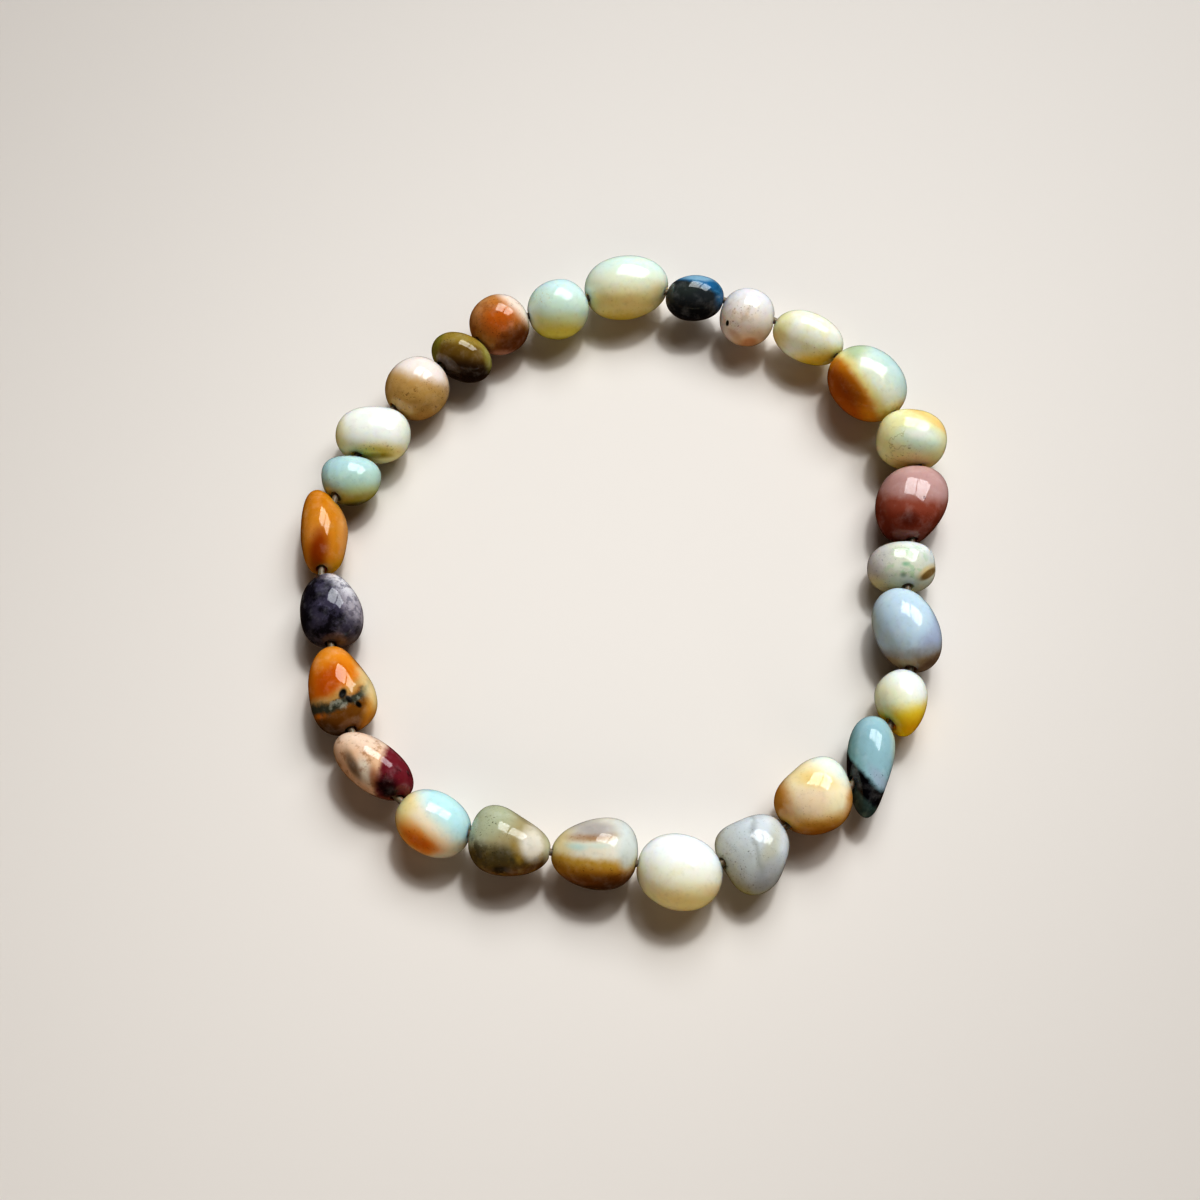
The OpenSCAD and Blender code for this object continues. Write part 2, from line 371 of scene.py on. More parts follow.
class Look:
    # Paints one stone. Places are shares of its half size, across (right) and up (away), as it is
    # seen from the near side and above; angles are degrees from the right towards up. A wobble makes
    # an edge wander by that share, and top is the strongest that a paint gets.
    def __init__(self, node, base):
        self.material, self.object = newMaterial(node)
        low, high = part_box(node)
        half = (high - low) / 2
        middle = low + half
        own = Vector((numberOf(node) * mineral["apart"], 0, 0))
        self.place = self.mapped(middle, Vector((1 / half.x, 1 / half.y, 1 / half.z)), Vector())
        self.grain = self.mapped(middle, Vector((1, 1, 1)) / mineral["unit"], own)
        slope = radians(camera["elevation"])
        self.across = self.dot((1, 0, 0))
        self.up = self.dot((0, sin(slope), cos(slope)))
        self.wander = (self.noise(1.5, 6, 0.62) - 0.5) * 2
        self.colour = rgb(base)

    def mapped(self, middle, share, own):
        # coordinates from the stone's middle, scaled by share and moved by own
        return self.object.node("ShaderNodeMapping", {}, {
            0: self.object, "Location": own - middle * share, "Scale": share})

    def dot(self, way):
        return self.place.node("ShaderNodeVectorMath", {"operation": "DOT_PRODUCT"},
                               {0: self.place, 1: way}, "Value")

    def noise(self, scale, detail=3.0, roughness=0.55):
        return self.grain.node("ShaderNodeTexNoise", {}, {
            "Vector": self.grain, "Scale": scale, "Detail": detail, "Roughness": roughness})

    def along(self, angle):
        # how far a place lies the angle's way, -1 to 1
        return self.across * cos(radians(angle)) + self.up * sin(radians(angle))

    def paint(self, mask, code, within=None):
        if within is not None:
            mask = mask * within
        self.colour = self.place.node("ShaderNodeMix", {"data_type": "RGBA"},
                                      {0: mask, 6: self.colour, 7: rgb(code)}, 2)
        return mask

    def fade(self, code, angle, start, end, wobble=0.15, top=1.0):
        # colours the side that lies the angle's way, from start on and fully from end on
        return self.paint((self.along(angle) + self.wander * wobble).between(start, end, top), code)

    def band(self, code, angle, at, width, soft=0.1, wobble=0.15, top=1.0, within=None):
        # a stripe that crosses the angle's way
        off = abs(self.along(angle) + self.wander * wobble - at)
        return self.paint(off.between(width / 2 + soft, width / 2 - soft / 2, top), code, within)

    def oval(self, across, up, long, wide, angle=0, wobble=0.3, soft=0.9):
        # 1 inside an oval, 0 outside; long and wide are its half sizes, angle turns it
        c, s = cos(radians(angle)), sin(radians(angle))
        u = ((self.across - across) * c + (self.up - up) * s) / long
        v = ((self.up - up) * c - (self.across - across) * s) / wide
        far = (u * u + v * v) ** 0.5 + self.wander * wobble
        return far.between(1 + soft / 2, 1 - soft / 2)

    def patch(self, code, across, up, long, wide, angle=0, wobble=0.3, soft=0.9, top=1.0):
        # an oval spot
        return self.paint(self.oval(across, up, long, wide, angle, wobble, soft) * top, code)

    def clouds(self, code, scale, start=0.5, end=0.65, top=1.0, within=None):
        # soft cloudy blots where the noise passes start, fully where it passes end
        return self.paint(self.noise(scale, 5, 0.6).between(start, end, top), code, within)

    def specks(self, code, scale, share=0.5, top=0.6, within=None):
        # ragged grains of all sizes, in loose groups; a larger share lets more of them show
        start = 0.66 - share * 0.1
        grains = self.noise(scale * 2, 3, 0.7).between(start, start + 0.06, top)
        groups = self.noise(scale / 3, 2).between(0.38, 0.56)
        return self.paint(grains * groups, code, within)

    def cracks(self, code, scale, width=0.012, top=1.0, within=None):
        # fine lines along the noise's middle height
        return self.paint(abs(self.noise(scale, 4) - 0.5).between(width, width / 3, top), code, within)

    def polish(self, roughness=0.05, clear=0.2, pits=None):
        # the last step: a clearer stone takes in more light, and further; pits is a mask of hollows
        self.clouds(mineral["milkTone"], 2.3, 0.45, 0.8, mineral["milk"])
        self.clouds(mineral["dustTone"], 6.0, 0.48, 0.75, mineral["dust"])
        ripple = self.noise(0.9, 2) * 0.8 + self.noise(7, 2) * 0.02
        if pits is not None:
            ripple = ripple - pits * mineral["pitDepth"]
        bump = self.place.node("ShaderNodeBump", {}, {
            "Height": ripple, "Strength": mineral["ripple"], "Distance": mineral["rippleDepth"]})
        gloss = self.noise(5, 3).between(0.3, 0.8, mineral["haze"]) + roughness
        shader = self.place.node("ShaderNodeBsdfPrincipled", {"subsurface_method": "RANDOM_WALK"}, {
            "Base Color": self.colour, "Roughness": gloss, "IOR": mineral["lustre"], "Normal": bump,
            "Subsurface Weight": min(mineral["glow"] * clear, 1),
            "Subsurface Radius": mineral["reachTones"], "Subsurface Scale": mineral["reach"] * clear})
        shader.node("ShaderNodeOutputMaterial", {}, {"Surface": shader})
        return self.material


# The looks, one for each stone in the order of their numbers
def paleMint(node):
    look = Look(node, "ebeed8")
    # partly the stone's own pale mint, partly painted light: the far side lighter and cooler where it
    # faces the window
    look.fade("dbece3", 88, -0.1, 0.7, 0.1)
    # partly the stone's own yellow, partly a painted glow of light passing through to the near lower side
    look.fade("ecdda4", -88, 0.0, 0.6, 0.1)
    look.fade("d4bc5c", -86, 0.72, 1.0, 0.06)
    look.patch("e6d3a0", 0.85, -0.35, 0.3, 0.4, 0, 0.1, 1.0, 0.7)
    look.specks("b9ac62", 6, 0.3, 0.4, look.along(-90).between(0.1, 0.5))
    return look.polish(clear=0.2)


def darkBlue(node):
    look = Look(node, "373d40")
    look.patch("3f4744", -0.35, 0.25, 0.5, 0.3, 20, 0.3, 1.2, 0.8)
    blue = look.fade("2f74a0", 62, 0.32, 0.62, 0.22)
    look.fade("2b6488", 5, 0.55, 0.85, 0.16)
    look.specks("7fb0a8", 7, 0.6, 0.6, look.oval(0.3, 0.35, 0.5, 0.3, -35))
    look.clouds("5f9fbe", 4.0, 0.48, 0.66, 0.6, blue)
    # painted highlight: a pale blue-white patch near the top
    look.patch("9cc0d2", 0.05, 0.82, 0.6, 0.16, -8, 0.2, 1.0, 0.7)
    look.fade("100f12", -92, 0.1, 0.9, 0.1, 0.8)
    look.specks("5c5138", 8, 0.5, 0.5, look.oval(-0.5, 0.1, 0.4, 0.6))
    return look.polish(roughness=0.04, clear=0.02)


def milkWhite(node):
    look = Look(node, "ede6e0")
    # partly the stone's own white, partly painted light: the far side paler and cooler where it faces the
    # window
    look.fade("eae8ea", 70, 0.0, 0.6, 0.1)
    look.fade("e3c29c", -85, 0.45, 1.0, 0.1)
    look.clouds("c9b295", 3.0, 0.5, 0.66, 0.4, look.oval(-0.4, 0.0, 0.6, 0.5, 20, 0.2, 1.0))
    look.specks("8a6a4c", 7, 0.6, 0.7, look.oval(-0.4, -0.05, 0.8, 0.6))
    look.patch("b88a5c", -0.5, -0.7, 0.35, 0.1, -38, 0.4, 1.4, 0.5)
    look.patch("c48a5c", 0.05, -0.92, 0.3, 0.12, 0, 0.3, 1.0, 0.7)
    look.patch("2a1c14", -0.78, -0.3, 0.05, 0.09, 0, 0.1, 0.6)
    return look.polish(clear=0.18)


def lemon(node):
    look = Look(node, "fbf7e6")
    # painted light: the far side whiter where it faces the window
    look.fade("f6f3e2", 60, 0.1, 0.7, 0.1)
    # partly the stone's own yellow, partly a painted glow of light passing through to the near lower side
    look.fade("f2d468", -80, 0.35, 0.95, 0.12)
    look.fade("e2bb38", -84, 0.75, 1.0, 0.06, 0.8)
    look.fade("ebdb98", 170, 0.45, 0.95, 0.1, 0.8)
    look.clouds("f4e9bc", 2.0, 0.48, 0.7, 0.5)
    look.specks("a0923c", 7, 0.4, 0.5, look.oval(0.0, -0.5, 0.6, 0.25))
    return look.polish(clear=0.22)


def greenAmber(node):
    look = Look(node, "e6ecdc")
    look.fade("c8dfdc", 35, 0.1, 0.75, 0.12)
    look.patch("b9cca6", -0.5, 0.78, 0.5, 0.25, 30, 0.15, 1.2, 0.8)
    look.fade("eadfa2", 212, -0.08, 0.24, 0.1)
    # partly the stone's own yellow, partly a painted glow of light passing through to the near lower side
    look.fade("dcb84e", -78, 0.5, 0.95, 0.12, 0.9)
    look.fade("d9992c", 212, 0.15, 0.42, 0.14)
    look.fade("bb701c", 208, 0.38, 0.72, 0.18)
    look.patch("8a400a", -0.55, -0.15, 0.22, 0.45, 28, 0.35, 1.4, 0.5)
    look.specks("7a3a08", 7, 0.5, 0.5, look.along(207).between(0.3, 0.6))
    return look.polish(clear=0.18)


def paleYellow(node):
    look = Look(node, "ece9bd")
    look.patch("d3e3d2", 0.1, -0.08, 0.62, 0.42, -12, 0.2, 1.1)
    # painted highlight: a near-white patch in the middle
    look.patch("eef2ea", 0.1, 0.1, 0.45, 0.2, -12, 0.3, 1.2, 0.8)
    # partly the stone's own yellow, partly a painted glow of light passing through to the near lower side
    look.fade("e6d28c", -95, 0.5, 0.95, 0.08)
    look.fade("f1dda2", 60, 0.5, 0.9, 0.12)
    look.band("f2cd8c", 50, 0.78, 0.14, 0.14, 0.12, 0.8)
    look.cracks("a5a56c", 1.6, 0.016, 0.5, look.oval(-0.6, -0.25, 0.4, 0.6))
    look.specks("6f7a30", 6, 0.6, 0.7, look.oval(-0.2, -0.5, 0.4, 0.22))
    return look.polish(clear=0.2)


def mauve(node):
    look = Look(node, "ba948e")
    # partly the stone's own paler mauve, partly painted light: the far side lighter where it faces the
    # window
    look.fade("c8a5a1", 62, 0.1, 0.8, 0.1)
    look.fade("9c5a48", -97, -0.38, -0.05, 0.12)
    look.fade("8a4430", -97, -0.05, 0.35, 0.14)
    look.fade("6e2c1c", -98, 0.45, 1.0, 0.12)
    look.patch("5a2012", -0.25, -0.3, 0.22, 0.18, 0, 0.4, 1.4, 0.7)
    look.fade("b2765f", -25, 0.75, 1.0, 0.1, 0.7)
    look.patch("6d241c", 0.16, 0.24, 0.035, 0.045, 0, 0.05, 0.5)
    look.specks("5a2618", 8, 0.5, 0.45, look.along(-90).between(-0.2, 0.3))
    return look.polish(clear=0.08)


def speckledGrey(node):
    look = Look(node, "d9ddce")
    look.fade("ccc9c6", 168, 0.3, 0.8, 0.18)
    look.fade("d9cea4", -105, 0.35, 0.9, 0.15)
    # painted highlight: a white-blue top right, toward the window
    look.fade("e4e9e6", 45, 0.35, 0.8, 0.14)
    look.clouds("b3d0aa", 2.4, 0.5, 0.62, 0.7, look.oval(0.0, 0.2, 0.6, 0.8))
    look.patch("8fbc98", -0.04, 0.1, 0.1, 0.08, 0, 0.7, 1.6, 0.8)
    look.patch("8fa088", -0.1, -0.32, 0.08, 0.1, 0, 0.7, 1.6, 0.8)
    look.specks("8a8a92", 6, 0.6, 0.6, look.along(170).between(0.0, 0.4))
    look.specks("6d8a6c", 7, 0.35, 0.5)
    look.patch("d9c595", 0.68, -0.2, 0.42, 0.2, 42, 0.2, 0.8, 0.8)
    hollow = look.patch("80642f", 0.7, -0.27, 0.36, 0.13, 42, 0.15, 0.6, 0.9)
    return look.polish(clear=0.12, pits=hollow)


def blueGrey(node):
    look = Look(node, "c6d9e5")
    look.fade("aebacf", -40, 0.0, 0.55, 0.14)
    look.fade("a8abae", -84, 0.2, 0.48, 0.12)
    look.fade("a8987c", -84, 0.42, 0.66, 0.12)
    end = look.fade("806c58", -66, 0.56, 0.86, 0.16)
    look.specks("5c4a3a", 8, 0.6, 0.6, end)
    look.specks("867050", 8, 0.5, 0.6, look.along(-90).between(0.4, 0.65))
    look.fade("d0d2bf", 185, 0.86, 1.0, 0.04, 0.7)
    return look.polish(clear=0.15)


def yellow(node):
    look = Look(node, "f6f2d6")
    # partly the stone's own cream, partly painted light: the far side whiter where it faces the window
    look.fade("faf8ea", 60, 0.0, 0.7, 0.1)
    # partly the stone's own yellow, partly a painted glow of light passing through, deepest at the near
    # lower edge
    look.fade("f4d34c", -80, -0.24, 0.3, 0.12)
    look.fade("ecbc18", -84, 0.15, 0.7, 0.08)
    look.fade("c99b14", -88, 0.85, 1.05, 0.05, 0.7)
    return look.polish(clear=0.22)


def aquaBlack(node):
    look = Look(node, "a0c2ca")
    look.fade("8ab3b2", 185, 0.35, 0.95, 0.12)
    look.fade("c4d8cc", 0, 0.6, 0.95, 0.1)
    look.patch("aab6c6", 0.15, -0.02, 0.5, 0.16, -30, 0.25, 1.1, 0.7)
    look.specks("3c4c52", 8, 0.7, 0.8, look.oval(-0.25, 0.02, 0.8, 0.18))
    look.specks("3f5a60", 6, 0.3, 0.6, look.up.between(0.1, -0.2))
    tip = look.fade("3f5552", -108, 0.20, 0.36, 0.1)
    look.clouds("72887a", 4.0, 0.5, 0.66, 0.5, tip)
    look.specks("10181a", 7, 0.6, 0.8, tip)
    look.band("0b0b12", -116, 0.34, 0.36, 0.1, 0.14)
    look.fade("0c0d14", -48, 0.5, 0.66, 0.12)
    return look.polish(roughness=0.04, clear=0.06)


def honeyCream(node):
    look = Look(node, "f2e6c6")
    look.patch("ead8bd", -0.2, 0.0, 0.5, 0.4, 30, 0.2, 1.2)
    look.fade("cf9a48", 190, 0.45, 0.92, 0.12)
    look.fade("e0b75e", -86, 0.2, 0.65, 0.14)
    look.fade("b07826", -86, 0.45, 0.9, 0.14)
    look.fade("cf9338", -12, 0.65, 0.95, 0.14, 0.9)
    look.patch("e6cc84", -0.05, 0.55, 0.5, 0.2, -8, 0.35, 1.6, 0.8)
    look.specks("8a5822", 8, 0.7, 0.6, look.along(-80).between(0.25, 0.6))
    look.specks("9a6a38", 7, 0.45, 0.5, look.oval(-0.4, 0.0, 0.6, 0.7))
    look.fade("e4ebe0", 58, 0.58, 0.9, 0.14)
    return look.polish(clear=0.15)


def greyGreen(node):
    look = Look(node, "c6cbca")
    look.fade("b4b09a", 205, 0.3, 0.9, 0.16)
    look.fade("aba46c", -100, 0.4, 0.95, 0.16)
    # partly the stone's own grey, partly painted light: the far side paler and cooler where it faces the
    # window
    look.fade("d0d6da", 60, 0.1, 0.8, 0.14)
    look.patch("bdbca8", 0.42, 0.35, 0.2, 0.5, -25, 0.3, 1.3, 0.7)
    look.patch("b0b4b8", 0.3, -0.35, 0.28, 0.45, -30, 0.35, 1.3, 0.8)
    look.band("8f928e", 8, 0.12, 0.05, 0.12, 0.25, 0.5, look.up.between(-0.4, 0.1))
    look.specks("3c3a2a", 8, 0.45, 0.75, look.along(190).between(-0.4, 0.2))
    look.specks("6c6a50", 10, 0.5, 0.45)
    return look.polish(clear=0.12)


def creamWhite(node):
    look = Look(node, "f2efdf")
    # painted light: the far side whiter where it faces the window
    look.fade("f4f5f2", 80, 0.0, 0.7, 0.1)
    # partly the stone's own yellow, partly a painted glow of light passing through to the near lower side
    look.fade("f2e4b0", -88, 0.0, 0.6, 0.14)
    look.fade("e6d490", -86, 0.72, 1.05, 0.08)
    look.patch("eed6b0", 0.75, -0.35, 0.3, 0.16, -30, 0.4, 1.3, 0.5)
    look.fade("e9e8c4", 180, 0.75, 1.0, 0.06, 0.7)
    look.clouds("e6dfc0", 1.6, 0.5, 0.7, 0.4)
    return look.polish(clear=0.25)


def ochreRing(node):
    look = Look(node, "e2ddcc")
    look.fade("d5dad6", 8, 0.35, 0.85, 0.15)
    look.fade("dccb96", 182, 0.35, 0.8, 0.15, 0.8)
    look.patch("b8d4cf", -0.4, 0.33, 0.2, 0.09, 0, 0.8, 1.8, 0.7)
    look.patch("c4d6d0", 0.1, 0.38, 0.24, 0.07, 0, 0.8, 1.8, 0.5)
    look.patch("a07034", -0.06, 0.6, 0.5, 0.11, 4, 0.5, 1.4, 0.8)
    look.patch("aea7a4", 0.0, 0.8, 0.5, 0.17, 3, 0.3, 1.4, 0.9)
    look.specks("8a5a22", 8, 0.7, 0.8, look.oval(-0.05, 0.58, 0.6, 0.12))
    look.fade("cba750", -94, -0.14, 0.12, 0.14)
    look.fade("b98a36", -94, 0.1, 0.4, 0.14)
    look.fade("80521e", -88, 0.3, 0.65, 0.14)
    look.fade("4e3010", -86, 0.6, 0.9, 0.12, 0.9)
    look.patch("cdd2cc", 0.78, 0.0, 0.2, 0.3, 0, 0.25, 1.2, 0.9)
    look.specks("54340f", 8, 0.6, 0.6, look.along(-90).between(0.0, 0.25))
    return look.polish(clear=0.1)


def mossGrey(node):
    look = Look(node, "aa9e7a")
    look.fade("b2b69c", 135, 0.1, 0.8, 0.16)
    look.fade("7a6a3c", 262, -0.05, 0.35, 0.2)
    look.clouds("57503a", 2.4, 0.46, 0.62, 0.8, look.along(250).between(-0.1, 0.3))
    look.patch("a58a40", 0.22, -0.15, 0.12, 0.34, 15, 0.5, 1.2, 0.8)
    look.patch("5a523a", -0.15, -0.22, 0.32, 0.28, 0, 0.5, 1.3, 0.8)
    look.fade("7a5622", -80, 0.4, 0.85, 0.16)
    look.patch("2f2a1e", -0.2, -0.72, 0.18, 0.14, 0, 0.4, 1.2, 0.8)
    look.patch("dcd6c8", 0.58, 0.0, 0.28, 0.44, 14, 0.3, 0.9)
    look.fade("c5c6b0", 0, 0.8, 1.0, 0.1, 0.8)
    look.specks("2e2c20", 8, 0.6, 0.75, look.along(200).between(-0.4, 0.1))
    look.clouds("a98f48", 4.0, 0.52, 0.68, 0.5, look.along(-75).between(0.1, 0.5))
    return look.polish(clear=0.08)


def skyPeach(node):
    look = Look(node, "efe2cc")
    look.fade("f0dda8", 168, 0.35, 0.8, 0.14)
    look.fade("bfe0e3", 38, 0.0, 0.6, 0.18)
    look.patch("e8b05c", -0.42, -0.36, 0.75, 0.42, -38, 0.3, 1.2)
    look.patch("dc8626", -0.32, -0.42, 0.48, 0.26, -38, 0.45, 1.4, 0.9)
    look.specks("ad6418", 7, 0.6, 0.6, look.oval(-0.3, -0.36, 0.5, 0.28, -30))
    look.fade("dcd8c0", -62, 0.62, 0.95, 0.12, 0.9)
    return look.polish(clear=0.18)


def creamWine(node):
    look = Look(node, "e4c0a0")
    # partly the stone's own cream, partly painted light: the far side lighter where it faces the window
    look.fade("e8d0bc", 80, 0.3, 0.85, 0.14)
    look.fade("c08e5c", 218, 0.3, 0.85, 0.16, 0.8)
    # painted highlight: a near-white streak left of the middle
    look.patch("eae0d0", -0.1, -0.05, 0.18, 0.4, 15, 0.4, 1.1, 0.9)
    look.patch("74604c", -0.42, 0.14, 0.13, 0.4, 22, 0.5, 1.3, 0.85)
    look.patch("a8683a", 0.14, -0.25, 0.12, 0.34, 10, 0.4, 1.2, 0.8)
    look.clouds("a0724c", 3.4, 0.5, 0.66, 0.6)
    wine = look.fade("7c2c38", -10, 0.14, 0.36, 0.2)
    look.fade("b0636a", 25, 0.75, 1.0, 0.12, 0.85)
    look.clouds("2a0a10", 2.6, 0.46, 0.62, 0.85, wine * look.along(-80).between(-0.3, 0.3))
    look.patch("1a070a", 0.42, -0.5, 0.24, 0.3, 0, 0.45, 1.1, 0.85)
    look.specks("8a5a3c", 7, 0.5, 0.5)
    look.fade("8f6040", -92, 0.68, 0.95, 0.12, 0.7)
    return look.polish(roughness=0.04, clear=0.06)


def orangeBlack(node):
    look = Look(node, "d5841c")
    look.fade("dd9430", 95, 0.45, 0.9, 0.12)
    look.patch("bc5c0c", -0.3, 0.32, 0.45, 0.3, 30, 0.35, 1.2, 0.85)
    look.band("c39c62", 112, 0.06, 0.14, 0.14, 0.16)
    look.fade("865a22", -66, 0.16, 0.34, 0.14)
    look.fade("55380f", -100, 0.5, 0.9, 0.14)
    look.band("4c4d40", 108, -0.12, 0.18, 0.1, 0.22)
    look.clouds("a3a496", 3.6, 0.48, 0.62, 0.8, look.oval(0.15, -0.1, 0.6, 0.14, 15))
    look.fade("d39a40", -18, 0.66, 0.9, 0.14)
    look.fade("ead6a4", 28, 0.56, 0.85, 0.14)
    look.patch("12110c", 0.14, 0.1, 0.12, 0.1, 40, 0.7, 0.8)
    look.patch("14130d", 0.32, -0.03, 0.12, 0.06, -30, 0.7, 0.8)
    look.patch("1a1810", 0.56, -0.16, 0.1, 0.06, -40, 0.7, 0.8)
    look.specks("16150f", 8, 0.6, 0.9, look.oval(0.2, -0.08, 0.6, 0.2, 10))
    return look.polish(roughness=0.04, clear=0.08)


def slatePurple(node):
    look = Look(node, "4b4758")
    look.clouds("14121a", 2.4, 0.44, 0.6, 0.9)
    look.clouds("75718a", 3.6, 0.52, 0.74, 0.7)
    look.fade("110f17", 176, 0.3, 0.75, 0.2, 0.85)
    look.fade("7d7674", -76, 0.62, 1.0, 0.18, 0.8)
    # painted reflection: the top right pales to white, as the bright room reflected at a grazing angle
    look.fade("b4aeb6", 32, 0.4, 0.75, 0.22, 0.9)
    look.fade("e6e4e8", 56, 0.56, 0.92, 0.24, 0.85)
    look.clouds("4a4658", 4.5, 0.46, 0.62, 0.6, look.along(45).between(0.1, 0.5))
    look.specks("26222e", 8, 0.6, 0.7)
    look.specks("8d8aa0", 9, 0.3, 0.4)
    return look.polish(roughness=0.04, clear=0.03)


def orange(node):
    look = Look(node, "d09030")
    look.fade("cf8a1e", 92, 0.4, 0.9, 0.1)
    look.patch("d69c56", -0.2, 0.12, 0.4, 0.22, 0, 0.3, 1.3, 0.7)
    look.patch("9c4c0a", -0.05, -0.28, 0.5, 0.36, 70, 0.4, 1.2)
    look.fade("dba92c", -70, 0.62, 0.95, 0.12)
    look.fade("dba668", 8, 0.6, 0.95, 0.12, 0.9)
    look.fade("9c5a10", 186, 0.7, 1.0, 0.1, 0.6)
    look.specks("8f4c0c", 7, 0.4, 0.35)
    return look.polish(roughness=0.04, clear=0.12)


def aqua(node):
    look = Look(node, "bcd6cc")
    look.fade("bad8da", 95, 0.0, 0.7, 0.1)
    look.fade("c6cf98", -80, 0.1, 0.6, 0.1)
    look.fade("b0a64e", -80, 0.45, 0.8, 0.1)
    look.fade("565020", -80, 0.78, 0.98, 0.06)
    look.specks("7c9a96", 7, 0.3, 0.5)
    return look.polish(clear=0.15)


def whiteOlive(node):
    look = Look(node, "f2f2e9")
    look.fade("e9e3b8", 195, 0.4, 0.95, 0.12)
    look.fade("e0cf98", 185, 0.85, 1.0, 0.06, 0.8)
    # partly the stone's own yellow, partly a painted glow of light passing through to the near lower side
    look.fade("efe6b8", -92, 0.2, 0.7, 0.12)
    look.fade("dfe8da", 5, 0.7, 1.0, 0.1, 0.9)
    look.patch("d2c45c", 0.05, -0.72, 0.5, 0.2, 0, 0.4, 1.4, 0.9)
    look.patch("a08c24", 0.2, -0.84, 0.3, 0.08, 0, 0.5, 1.4, 0.9)
    look.specks("5f5d16", 8, 0.6, 0.7, look.oval(0.1, -0.65, 0.6, 0.25))
    return look.polish(clear=0.22)


def tan(node):
    look = Look(node, "c8a66c")
    # partly the stone's own pale top, partly painted light: the far side whiter where it faces the window
    # and holds the highlight
    look.fade("f0e5de", 72, 0.05, 0.55, 0.14)
    look.fade("cbaa6c", -88, -0.1, 0.5, 0.14)
    look.fade("b48c50", -86, 0.65, 1.0, 0.12, 0.9)
    look.fade("ddc4a2", 0, 0.78, 1.0, 0.1, 0.7)
    look.clouds("a57f44", 2.8, 0.48, 0.7, 0.35, look.along(-90).between(-0.3, 0.2))
    look.specks("6f4c1c", 5, 0.6, 0.6, look.along(-90).between(-0.2, 0.25))
    look.specks("8a6430", 9, 0.7, 0.6, look.along(-90).between(-0.5, 0.0))
    return look.polish(clear=0.1)


def oliveBrown(node):
    look = Look(node, "4a3620")
    look.fade("7a602a", 78, -0.45, 0.0, 0.16)
    look.specks("a08a3a", 9, 0.8, 0.7, look.along(80).between(-0.1, 0.3))
    look.fade("a08a42", 78, 0.2, 0.55, 0.18)
    look.fade("a39e58", 12, 0.6, 0.9, 0.12)
    look.fade("857f34", 165, 0.6, 0.9, 0.12)
    look.specks("3c2c18", 9, 0.8, 0.6, look.along(80).between(0.15, 0.45))
    look.fade("2a1c10", -88, 0.4, 0.95, 0.14)
    return look.polish(roughness=0.04, clear=0.03)


def rust(node):
    look = Look(node, "c48a4c")
    look.fade("c89662", 150, 0.3, 0.9, 0.16)
    look.patch("c26c1c", 0.05, 0.0, 0.5, 0.45, 0, 0.45, 1.4, 0.9)
    look.clouds("96582c", 3.0, 0.48, 0.7, 0.4)
    look.fade("7c4a20", -50, 0.3, 0.8, 0.2)
    look.fade("c99a84", -88, 0.86, 1.0, 0.08, 0.8)
    # partly the stone's own pale rim, partly painted light shining through the clear top-right edge
    look.fade("eedccf", 46, 0.42, 0.82, 0.12)
    look.specks("5e2c12", 7, 0.6, 0.6)
    return look.polish(clear=0.12)


def mint(node):
    look = Look(node, "d2e6da")
    # partly the stone's own mint, partly painted light: the far side cooler and paler where it faces the
    # window
    look.fade("cfe6e6", 80, 0.1, 0.8, 0.1)
    # partly the stone's own yellow, partly a painted glow of light passing through, deepest at the near
    # lower edge
    look.fade("e4e6b2", -90, 0.1, 0.7, 0.14)
    look.fade("dcd26c", -88, 0.5, 0.85, 0.08)
    look.fade("a89a34", -88, 0.9, 1.04, 0.05, 0.7)
    pits = look.specks("c0b27a", 7, 0.7, 0.8, look.oval(-0.5, 0.25, 0.3, 0.25))
    look.specks("c4ba8a", 7, 0.7, 0.7, look.oval(-0.06, 0.72, 0.2, 0.12))
    return look.polish(clear=0.2, pits=pits)


looks = [paleMint, darkBlue, milkWhite, lemon, greenAmber, paleYellow, mauve, speckledGrey, blueGrey,
         yellow, aquaBlack, honeyCream, greyGreen, creamWhite, ochreRing, mossGrey, skyPeach, creamWine,
         orangeBlack, slatePurple, orange, aqua, whiteOlive, tan, oliveBrown, rust, mint]


def elastic():
    # elastic thread whose dull grey-beige is painted shade, the tone of the shaded gaps between the
    # stones, with faint strands
    material, place = newMaterial("elastic_string")
    strands = place.node("ShaderNodeTexNoise", {}, {
        "Vector": place, "Scale": string["strand"], "Detail": 2.0})
    dark, pale = (rgb(tone) for tone in string["shadedTones"])
    colour = place.node("ShaderNodeMix", {"data_type": "RGBA"}, {0: strands, 6: dark, 7: pale}, 2)
    bump = place.node("ShaderNodeBump", {}, {"Height": strands, "Strength": 0.2, "Distance": 0.0001})
    shader = place.node("ShaderNodeBsdfPrincipled", {}, {
        "Base Color": colour, "Roughness": strands * 0.15 + 0.25, "Normal": bump,
        "Subsurface Weight": string["glow"], "Subsurface Scale": string["reach"]})
    shader.node("ShaderNodeOutputMaterial", {}, {"Surface": shader})
    return material


def dress(piece, node, material):
    piece.data.materials.clear()
    piece.data.materials.append(material)
    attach(piece, "root")
    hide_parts(node)


waves = bpy.data.textures.new("tumbled", "CLOUDS")
waves.noise_scale = pebble["waveSize"]
waves.noise_depth = 1

stoneNodes = sorted(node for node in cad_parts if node.startswith("stone_"))
for node, paintStone in zip(stoneNodes, looks):
    dress(makePebble(node), node, paintStone(node))
print("stones made:", len(stoneNodes))

dress(makeString(), "elastic_string", elastic())
print("string made")


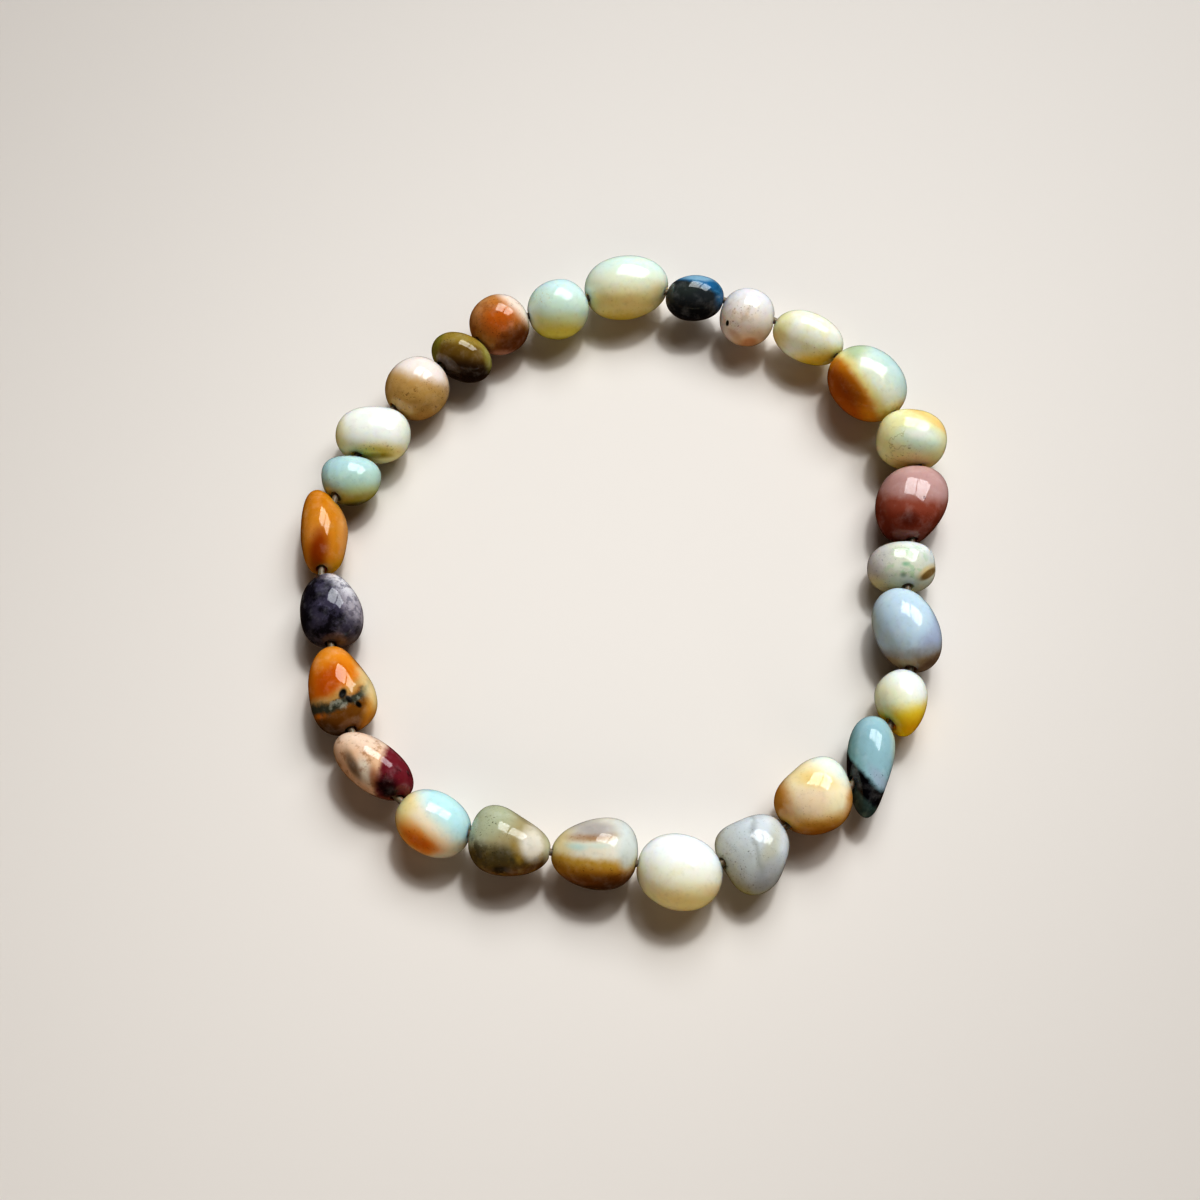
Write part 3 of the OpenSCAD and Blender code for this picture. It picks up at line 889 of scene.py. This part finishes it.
# Floor and light
stage = {
    "floorSide": 1.2,
    "floorTone": "dfd9d3",
    "floorRoughness": 0.6,
    "windowDistance": 1.0,           # metres from the bracelet
    "windowWay": (0.26, 0.56, 0.79),
    "windowPower": 7.2,
    "windowTone": (0.945, 0.982, 1),
    "paneSize": (0.42, 0.56),        # one of the window's two panes
    "paneGap": 0.04,
    "lampWay": (0.20, 0.50, 0.84),   # the lamp stands a metre off, and gives the shadows
    "lampAim": (-0.012, -0.02, 0),
    "lampSize": 0.08,
    "lampCone": 14,                  # degrees, its light fades towards the corners of the picture
    "lampPower": 17.0,
    "frontPlace": (-0.1, -0.8, 0.36),  # a wide warm panel, low on the near side
    "frontSize": (1, 0.5),
    "frontPower": 1.5,
    "frontTone": (1, 0.89, 0.76),
    "fill": 0.03,                    # light of the room
    "fillTone": (1, 0.5, 0.25, 1),
    "backdrop": "e2ddd8",            # seen behind the floor
}


def addFloor():
    deselectAll()
    bpy.ops.mesh.primitive_plane_add(size=stage["floorSide"])
    floor = bpy.context.object
    floor.name = "floor"
    material = bpy.data.materials.new("floor")
    material.use_nodes = True
    shader = material.node_tree.nodes["Principled BSDF"]
    shader.inputs["Base Color"].default_value = rgb(stage["floorTone"])
    shader.inputs["Roughness"].default_value = stage["floorRoughness"]
    floor.data.materials.append(material)
    floor.visible_glossy = False  # or it veils the lower half of the stones


def addPane(name, place, aim, size, power, tone, mirrored=True):
    # mirrored is whether the stones reflect it
    bpy.ops.object.light_add(type="AREA", location=place)
    light = bpy.context.object
    light.name = name
    light.rotation_euler = (Vector(aim) - Vector(place)).to_track_quat("-Z", "Y").to_euler()
    light.data.shape = "RECTANGLE"
    light.data.size, light.data.size_y = size
    light.data.energy = power
    light.data.color = tone
    light.visible_glossy = mirrored


def addWindow():
    way = Vector(stage["windowWay"]).normalized()
    side = Vector((way.y, -way.x, 0)).normalized()
    middle = way * stage["windowDistance"]
    width, height = stage["paneSize"]
    step = (width + stage["paneGap"]) / 2
    power = stage["windowPower"] / 2
    for name, place in (("leftPane", middle - side * step), ("rightPane", middle + side * step)):
        addPane(name, place, place - middle, (width, height), power, stage["windowTone"])


def addLamp():
    bpy.ops.object.light_add(type="SPOT", location=Vector(stage["lampWay"]).normalized())
    lamp = bpy.context.object
    lamp.name = "lamp"
    lamp.rotation_euler = (lamp.location - Vector(stage["lampAim"])).to_track_quat("Z", "Y").to_euler()
    lamp.data.shadow_soft_size = stage["lampSize"]
    lamp.data.spot_size = radians(stage["lampCone"])
    lamp.data.spot_blend = 1
    lamp.data.energy = stage["lampPower"]
    lamp.data.color = stage["windowTone"]
    lamp.visible_glossy = False


def addRoom():
    # a weak warm light from all round, and a pale backdrop that only the camera sees
    world = bpy.data.worlds.new("room")
    bpy.context.scene.world = world
    world.use_nodes = True
    nodes = world.node_tree.nodes
    nodes["Background"].inputs["Color"].default_value = stage["fillTone"]
    nodes["Background"].inputs["Strength"].default_value = stage["fill"]
    light = Wire(world.node_tree, nodes["Background"].outputs[0])
    seen = light.node("ShaderNodeLightPath", {}, {}, "Is Camera Ray")
    backdrop = light.node("ShaderNodeBackground", {}, {"Color": rgb(stage["backdrop"]), "Strength": 1.0})
    mixed = light.node("ShaderNodeMixShader", {}, {0: seen, 1: light, 2: backdrop})
    world.node_tree.links.new(mixed.socket, nodes["World Output"].inputs["Surface"])


addFloor()
addWindow()
addPane("front", stage["frontPlace"], (0, 0, 0), stage["frontSize"], stage["frontPower"],
        stage["frontTone"], mirrored=False)
addLamp()
addRoom()
bpy.context.scene.view_settings.view_transform = "Standard"
bpy.context.scene.view_settings.look = "High Contrast"
print("floor and lights set")
